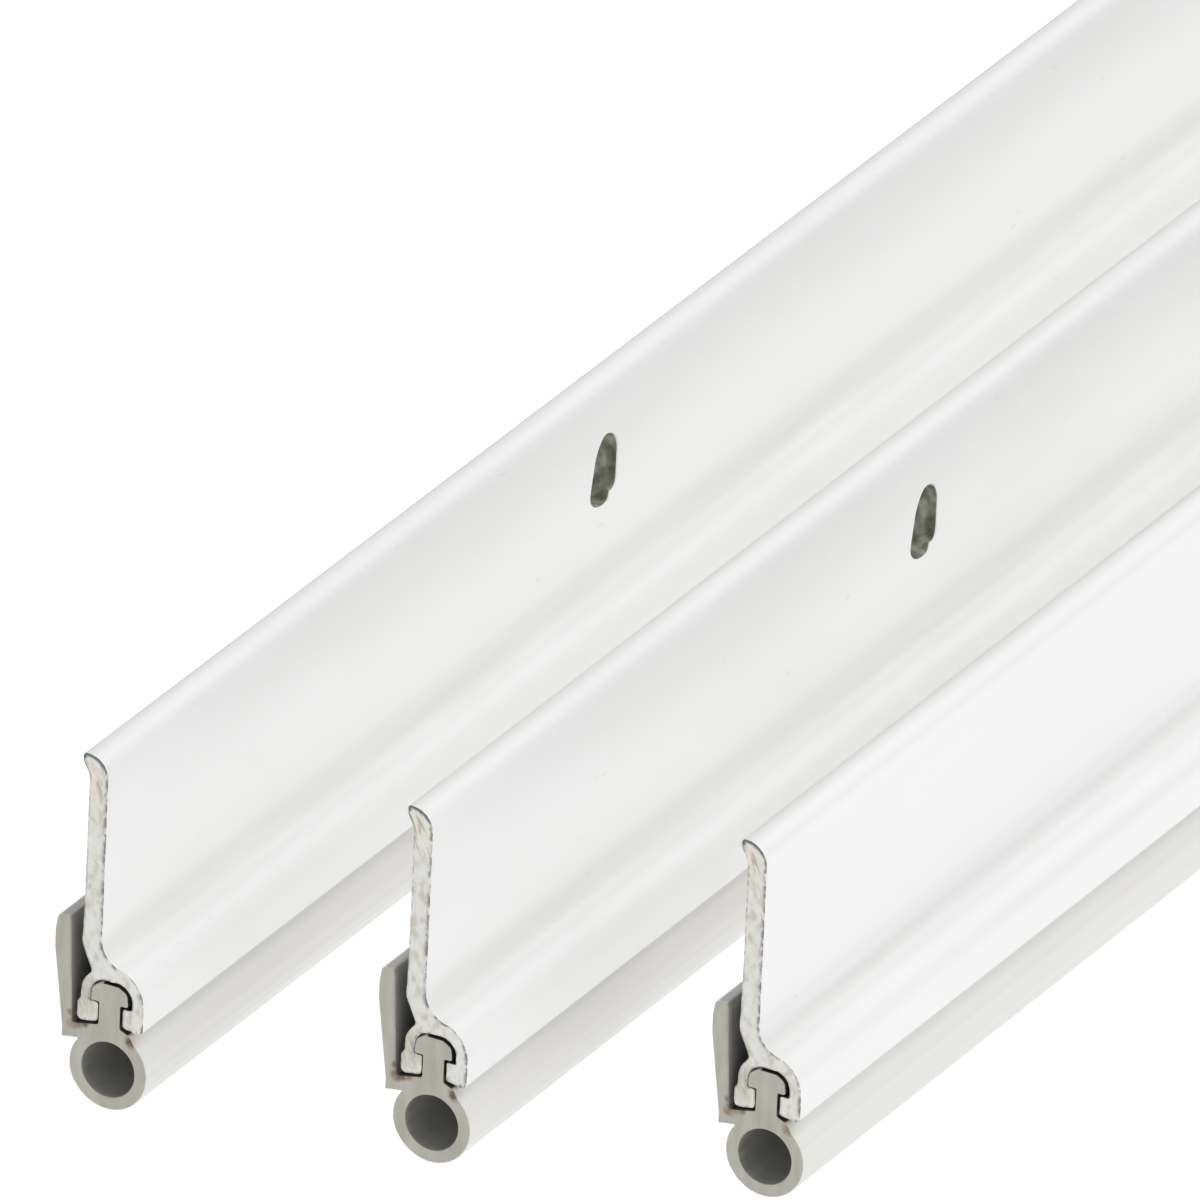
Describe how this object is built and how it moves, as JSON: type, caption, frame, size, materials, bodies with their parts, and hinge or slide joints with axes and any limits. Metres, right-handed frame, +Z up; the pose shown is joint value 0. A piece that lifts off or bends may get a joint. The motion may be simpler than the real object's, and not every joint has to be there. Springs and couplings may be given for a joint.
{
  "type": "door sweep",
  "caption": "Straight white aluminium strips with a curled top edge and screw slots, each holding a round tube seal and a rear fin in a channel along its foot, to close the gap round a door.",
  "frame": {"origin": "under the middle of the three strips, on the plane that their tube seals rest on", "axes": "+X along the strips, away from the end that the picture shows; -Y is the slotted flange's visible front, +Y the side with the fin; +Z up, from the tube seal to the curled edge"},
  "size_m": [0.9298, 0.062, 0.0318],
  "materials": {
    "white_aluminium": "white semi-gloss paint on extruded aluminium, bare at the saw cuts",
    "white_vinyl": "satin off-white flexible vinyl"
  },
  "bodies": {
    "carrier_1": {"carrier_1": "white_aluminium"},
    "seal_1": {"seal_1": "white_vinyl"},
    "fin_1": {"fin_1": "white_vinyl"},
    "carrier_2": {"carrier_2": "white_aluminium"},
    "seal_2": {"seal_2": "white_vinyl"},
    "fin_2": {"fin_2": "white_vinyl"},
    "carrier_3": {"carrier_3": "white_aluminium"},
    "seal_3": {"seal_3": "white_vinyl"},
    "fin_3": {"fin_3": "white_vinyl"}
  },
  "joints": [
    {"name": "seal_1_slide", "type": "slide", "parent": "carrier_1", "child": "seal_1", "axis": [1, 0, 0], "range_m": [-0.889, 0.889]},
    {"name": "fin_1_flex", "type": "hinge", "parent": "seal_1", "child": "fin_1", "pos_m": [-0.00775, 0.02957, 0.0064], "axis": [1, 0, 0], "range_deg": [-20, 5], "stiffness_Nm_per_rad": 0.2},
    {"name": "strip_2_lift", "type": "slide", "parent": "carrier_1", "child": "carrier_2", "axis": [0, 0, 1], "range_m": [0, 0.1]},
    {"name": "seal_2_slide", "type": "slide", "parent": "carrier_2", "child": "seal_2", "axis": [1, 0, 0], "range_m": [-0.889, 0.889]},
    {"name": "fin_2_flex", "type": "hinge", "parent": "seal_2", "child": "fin_2", "pos_m": [-0.00175, 0.00252, 0.0064], "axis": [1, 0, 0], "range_deg": [-20, 5], "stiffness_Nm_per_rad": 0.2},
    {"name": "strip_3_lift", "type": "slide", "parent": "carrier_1", "child": "carrier_3", "axis": [0, 0, 1], "range_m": [0, 0.1]},
    {"name": "seal_3_slide", "type": "slide", "parent": "carrier_3", "child": "seal_3", "axis": [1, 0, 0], "range_m": [-0.889, 0.889]},
    {"name": "fin_3_flex", "type": "hinge", "parent": "seal_3", "child": "fin_3", "pos_m": [0.00775, -0.02343, 0.0064], "axis": [1, 0, 0], "range_deg": [-20, 5], "stiffness_Nm_per_rad": 0.2}
  ]
}
